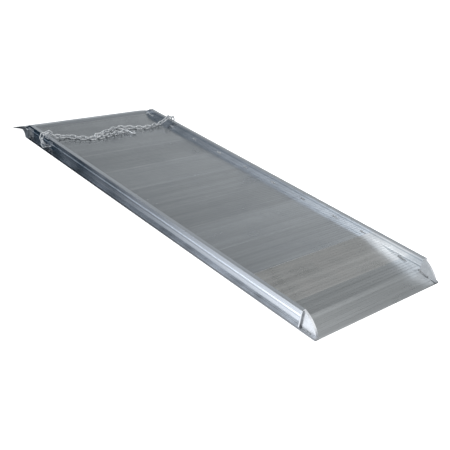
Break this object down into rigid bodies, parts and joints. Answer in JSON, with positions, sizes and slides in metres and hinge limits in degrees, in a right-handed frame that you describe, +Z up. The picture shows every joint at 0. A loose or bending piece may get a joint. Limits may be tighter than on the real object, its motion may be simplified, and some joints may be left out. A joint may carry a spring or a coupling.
{
  "type": "overlap walk ramp",
  "caption": "Straight aluminium walk ramp with curb rails, an overlap lip at the dock end, a feathered toe and safety chains ending in S-hooks.",
  "frame": {"origin": "middle of the overall box at ground level, on the underside of the side rails", "axes": "+X along the ramp from the dock end to the toe, +Y to the right-hand rail seen from the dock end's left, +Z up"},
  "size_m": [1.9538, 0.7606, 0.0941],
  "materials": {
    "deck": "mill-finish extrusion with drawn lines and shallow tread grooves",
    "approach": "mill-finish extrusion, a little brighter",
    "lip": "mill-finish extrusion",
    "rail": "mill-finish extrusion, smooth",
    "end_casting": "sawn and deburred plate",
    "chain": "bright zinc plate",
    "hook": "bright zinc plate"
  },
  "bodies": {
    "ramp": {"deck_plank_1": "deck", "deck_plank_2": "deck", "deck_plank_3": "deck", "deck_plank_4": "deck", "deck_plank_5": "deck", "deck_plank_6": "deck", "deck_plank_7": "deck", "deck_plank_8": "deck", "approach_plank": "approach", "toe_plank": "approach", "dock_lip": "lip", "left_side_rail": "rail", "left_toe_cheek": "end_casting", "left_channel_end_plate": "end_casting", "left_lip_plug": "end_casting", "left_chain_staple": "chain", "left_rail_links": "chain", "right_side_rail": "rail", "right_toe_cheek": "end_casting", "right_channel_end_plate": "end_casting", "right_lip_plug": "end_casting", "right_chain_staple": "chain", "right_rail_links": "chain"},
    "left_crossing": {"left_crossing_links": "chain"},
    "left_pair_1": {"left_link_01": "chain", "left_link_02": "chain"},
    "left_pair_2": {"left_link_03": "chain", "left_link_04": "chain"},
    "left_pair_3": {"left_link_05": "chain", "left_link_06": "chain"},
    "left_pair_4": {"left_link_07": "chain", "left_link_08": "chain"},
    "left_pair_5": {"left_link_09": "chain", "left_link_10": "chain"},
    "left_pair_6": {"left_link_11": "chain", "left_link_12": "chain"},
    "left_pair_7": {"left_link_13": "chain", "left_link_14": "chain"},
    "left_pair_8": {"left_link_15": "chain", "left_link_16": "chain"},
    "left_s_hook": {"left_hook": "hook"},
    "right_crossing": {"right_crossing_links": "chain"},
    "right_pair_1": {"right_link_01": "chain", "right_link_02": "chain"},
    "right_pair_2": {"right_link_03": "chain", "right_link_04": "chain"},
    "right_pair_3": {"right_link_05": "chain", "right_link_06": "chain"},
    "right_pair_4": {"right_link_07": "chain", "right_link_08": "chain"},
    "right_pair_5": {"right_link_09": "chain", "right_link_10": "chain"},
    "right_pair_6": {"right_link_11": "chain", "right_link_12": "chain"},
    "right_pair_7": {"right_link_13": "chain", "right_link_14": "chain"},
    "right_pair_8": {"right_link_15": "chain", "right_link_16": "chain"},
    "right_s_hook": {"right_hook": "hook"}
  },
  "joints": [
    {"name": "left_crossing_hinge", "type": "hinge", "parent": "ramp", "child": "left_crossing", "pos_m": [-0.6859, -0.33591, 0.08455], "axis": [1, 0, 0], "range_deg": [0, 40]},
    {"name": "left_pair_1_hinge", "type": "hinge", "parent": "left_crossing", "child": "left_pair_1", "pos_m": [-0.6859, -0.29657, 0.05903], "axis": [1, 0, 0], "range_deg": [0, 16]},
    {"name": "left_pair_2_hinge", "type": "hinge", "parent": "left_pair_1", "child": "left_pair_2", "pos_m": [-0.67613, -0.25109, 0.05489], "axis": [0.9274, -0.2702, -0.2588], "range_deg": [0, 16]},
    {"name": "left_pair_3_hinge", "type": "hinge", "parent": "left_pair_2", "child": "left_pair_3", "pos_m": [-0.6522, -0.21072, 0.05421], "axis": [0.5766, -0.4097, -0.7069], "range_deg": [0, 16]},
    {"name": "left_pair_4_hinge", "type": "hinge", "parent": "left_pair_3", "child": "left_pair_4", "pos_m": [-0.62682, -0.17124, 0.05404], "axis": [0.6124, -0.3536, -0.7071], "range_deg": [0, 16]},
    {"name": "left_pair_5_hinge", "type": "hinge", "parent": "left_pair_4", "child": "left_pair_5", "pos_m": [-0.61577, -0.12572, 0.05404], "axis": [0.6984, -0.1106, -0.7071], "range_deg": [0, 16]},
    {"name": "left_pair_6_hinge", "type": "hinge", "parent": "left_pair_5", "child": "left_pair_6", "pos_m": [-0.61856, -0.07878, 0.05404], "axis": [0.7044, 0.0616, -0.7071], "range_deg": [0, 16]},
    {"name": "left_pair_7_hinge", "type": "hinge", "parent": "left_pair_6", "child": "left_pair_7", "pos_m": [-0.62704, -0.03255, 0.05404], "axis": [0.6941, 0.1349, -0.7071], "range_deg": [0, 16]},
    {"name": "left_pair_8_hinge", "type": "hinge", "parent": "left_pair_7", "child": "left_pair_8", "pos_m": [-0.63509, 0.01372, 0.05578], "axis": [0.4891, 0.1081, -0.8655], "range_deg": [0, 16]},
    {"name": "left_s_hook_hinge", "type": "hinge", "parent": "left_pair_8", "child": "left_s_hook", "pos_m": [-0.63712, 0.06065, 0.05641], "axis": [0, 0, -1], "range_deg": [-12, 20]},
    {"name": "right_crossing_hinge", "type": "hinge", "parent": "ramp", "child": "right_crossing", "pos_m": [-0.6639, 0.33591, 0.08455], "axis": [-1, 0, 0], "range_deg": [0, 40]},
    {"name": "right_pair_1_hinge", "type": "hinge", "parent": "right_crossing", "child": "right_pair_1", "pos_m": [-0.6639, 0.29657, 0.05903], "axis": [-1, 0, 0], "range_deg": [0, 16]},
    {"name": "right_pair_2_hinge", "type": "hinge", "parent": "right_pair_1", "child": "right_pair_2", "pos_m": [-0.65513, 0.25079, 0.05489], "axis": [-0.9421, -0.2133, -0.2588], "range_deg": [0, 16]},
    {"name": "right_pair_3_hinge", "type": "hinge", "parent": "right_pair_2", "child": "right_pair_3", "pos_m": [-0.64775, 0.20446, 0.05421], "axis": [-0.705, -0.0567, -0.7069], "range_deg": [0, 16]},
    {"name": "right_pair_4_hinge", "type": "hinge", "parent": "right_pair_3", "child": "right_pair_4", "pos_m": [-0.65131, 0.15765, 0.05404], "axis": [-0.7018, 0.0862, -0.7071], "range_deg": [0, 16]},
    {"name": "right_pair_5_hinge", "type": "hinge", "parent": "right_pair_4", "child": "right_pair_5", "pos_m": [-0.66945, 0.11434, 0.05404], "axis": [-0.6355, 0.31, -0.7071], "range_deg": [0, 16]},
    {"name": "right_pair_6_hinge", "type": "hinge", "parent": "right_pair_5", "child": "right_pair_6", "pos_m": [-0.68698, 0.07089, 0.05404], "axis": [-0.6725, 0.2185, -0.7071], "range_deg": [0, 16]},
    {"name": "right_pair_7_hinge", "type": "hinge", "parent": "right_pair_6", "child": "right_pair_7", "pos_m": [-0.68618, 0.02397, 0.05404], "axis": [-0.7044, -0.0616, -0.7071], "range_deg": [0, 16]},
    {"name": "right_pair_8_hinge", "type": "hinge", "parent": "right_pair_7", "child": "right_pair_8", "pos_m": [-0.67004, -0.02017, 0.05578], "axis": [-0.4523, -0.2153, -0.8655], "range_deg": [0, 16]},
    {"name": "right_s_hook_hinge", "type": "hinge", "parent": "right_pair_8", "child": "right_s_hook", "pos_m": [-0.65417, -0.06437, 0.05641], "axis": [0, 0, -1], "range_deg": [-5, 25]}
  ]
}
